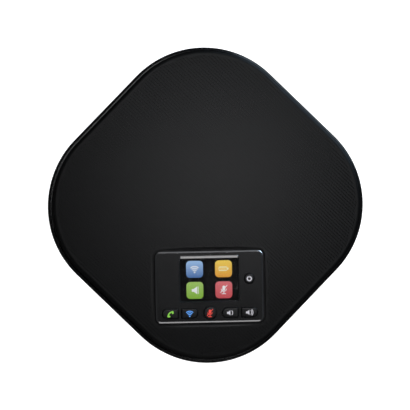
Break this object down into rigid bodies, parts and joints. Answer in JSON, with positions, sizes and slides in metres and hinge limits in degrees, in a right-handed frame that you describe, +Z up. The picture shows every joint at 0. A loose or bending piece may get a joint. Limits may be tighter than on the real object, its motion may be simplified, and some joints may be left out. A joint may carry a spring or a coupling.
{
  "type": "conference speakerphone",
  "caption": "Flat rounded-square table speakerphone with a domed perforated grille, a tilted control panel with a colour touch display, a row of keys and rear sockets.",
  "frame": {"origin": "middle of the bounding box's underside, on the plane that the rubber feet stand on", "axes": "+Z up; -Y towards the user, where the control panel is; +X to the user's right; the outline's four rounded corners point along X and Y"},
  "size_m": [0.266, 0.266, 0.0503],
  "materials": {
    "case_plastic": "fine spark-eroded texture",
    "inner_plastic": "moulded, satin",
    "ring_plastic": "satin",
    "grille_steel": "perforated sheet, matt powder coat",
    "scrim_cloth": "thin acoustic weave",
    "rubber": "matt",
    "silicone": "translucent grey",
    "foam": "open-cell foam",
    "screw_steel": "black zinc",
    "bezel_metal": "bevelled, bright satin",
    "fascia_gloss": "gloss black",
    "lens_glass": "clear touch glass",
    "display_cell": "lit colour display with four round-cornered tiles",
    "key_plastic": "semi-gloss black with printed symbols",
    "circuit_board": "green solder resist",
    "shield_tin": "tinned sheet",
    "heatsink_alloy": "extruded",
    "basket_steel": "pressed sheet, plated",
    "magnet_ferrite": "sintered, dark grey",
    "cone_paper": "pressed pulp",
    "spider_cloth": "resin-treated cloth",
    "lead_pvc": "insulated wire",
    "flex_film": "polyimide film",
    "cell_wrap": "shrink sleeve",
    "jack_plastic": "moulded socket"
  },
  "bodies": {
    "case": {"amplifier_board": "circuit_board", "amplifier_heatsink": "heatsink_alloy", "audio_sockets": "jack_plastic", "base_screws": "screw_steel", "battery_cells": "cell_wrap", "battery_leads": "lead_pvc", "battery_pads": "foam", "battery_strap": "inner_plastic", "board_parts": "inner_plastic", "board_screws": "screw_steel", "bottom_housing": "case_plastic", "chamber_screws": "screw_steel", "display_trim": "bezel_metal", "grille_scrim": "scrim_cloth", "keypad_board": "circuit_board", "keypad_membrane": "silicone", "keypad_ribbon": "flex_film", "lcd_module": "display_cell", "lcd_ribbon": "flex_film", "lead_grommet": "rubber", "main_board": "circuit_board", "mic_boards": "circuit_board", "mic_boots": "rubber", "panel_bezel": "bezel_metal", "panel_fascia": "fascia_gloss", "panel_screws": "screw_steel", "panel_tray": "inner_plastic", "port_board": "circuit_board", "port_board_screws": "screw_steel", "port_plate": "case_plastic", "rubber_feet": "rubber", "shield_can": "shield_tin", "speaker_basket": "basket_steel", "speaker_chamber": "inner_plastic", "speaker_gasket": "foam", "speaker_leads": "lead_pvc", "speaker_magnet": "magnet_ferrite", "speaker_screws": "screw_steel", "speaker_spider": "spider_cloth", "speaker_surround": "rubber", "speaker_top_plate": "basket_steel", "speaker_yoke": "basket_steel", "strap_screws": "screw_steel", "top_frame": "inner_plastic", "top_grille": "grille_steel", "touch_lens": "lens_glass", "trim_ring": "ring_plastic", "usb_socket": "shield_tin", "wireless_module": "circuit_board"},
    "call_key": {"call_button": "key_plastic"},
    "wireless_key": {"wireless_button": "key_plastic"},
    "mute_key": {"mute_button": "key_plastic"},
    "volume_down_key": {"volume_down_button": "key_plastic"},
    "volume_up_key": {"volume_up_button": "key_plastic"},
    "power_key": {"power_button": "key_plastic"},
    "cone": {"speaker_cone": "cone_paper", "dust_cap": "cone_paper", "voice_coil": "cone_paper"}
  },
  "joints": [
    {"name": "call_press", "type": "slide", "parent": "case", "child": "call_key", "axis": [0, 0.0493, -0.9988], "range_m": [0, 0.0006], "stiffness_N_per_m": 1500, "springref_m": -0.0003, "deforming": ["keypad_membrane"]},
    {"name": "wireless_press", "type": "slide", "parent": "case", "child": "wireless_key", "axis": [0, 0.0493, -0.9988], "range_m": [0, 0.0006], "stiffness_N_per_m": 1500, "springref_m": -0.0003, "deforming": ["keypad_membrane"]},
    {"name": "mute_press", "type": "slide", "parent": "case", "child": "mute_key", "axis": [0, 0.0493, -0.9988], "range_m": [0, 0.0006], "stiffness_N_per_m": 1500, "springref_m": -0.0003, "deforming": ["keypad_membrane"]},
    {"name": "volume_down_press", "type": "slide", "parent": "case", "child": "volume_down_key", "axis": [0, 0.0493, -0.9988], "range_m": [0, 0.0006], "stiffness_N_per_m": 1500, "springref_m": -0.0003, "deforming": ["keypad_membrane"]},
    {"name": "volume_up_press", "type": "slide", "parent": "case", "child": "volume_up_key", "axis": [0, 0.0493, -0.9988], "range_m": [0, 0.0006], "stiffness_N_per_m": 1500, "springref_m": -0.0003, "deforming": ["keypad_membrane"]},
    {"name": "power_press", "type": "slide", "parent": "case", "child": "power_key", "axis": [0, 0.0493, -0.9988], "range_m": [0, 0.0006], "stiffness_N_per_m": 1500, "springref_m": -0.0003, "deforming": ["keypad_membrane"]},
    {"name": "cone_travel", "type": "slide", "parent": "case", "child": "cone", "axis": [0, 0, 1], "range_m": [-0.001, 0.001], "stiffness_N_per_m": 1900, "deforming": ["speaker_surround", "speaker_spider"]}
  ]
}
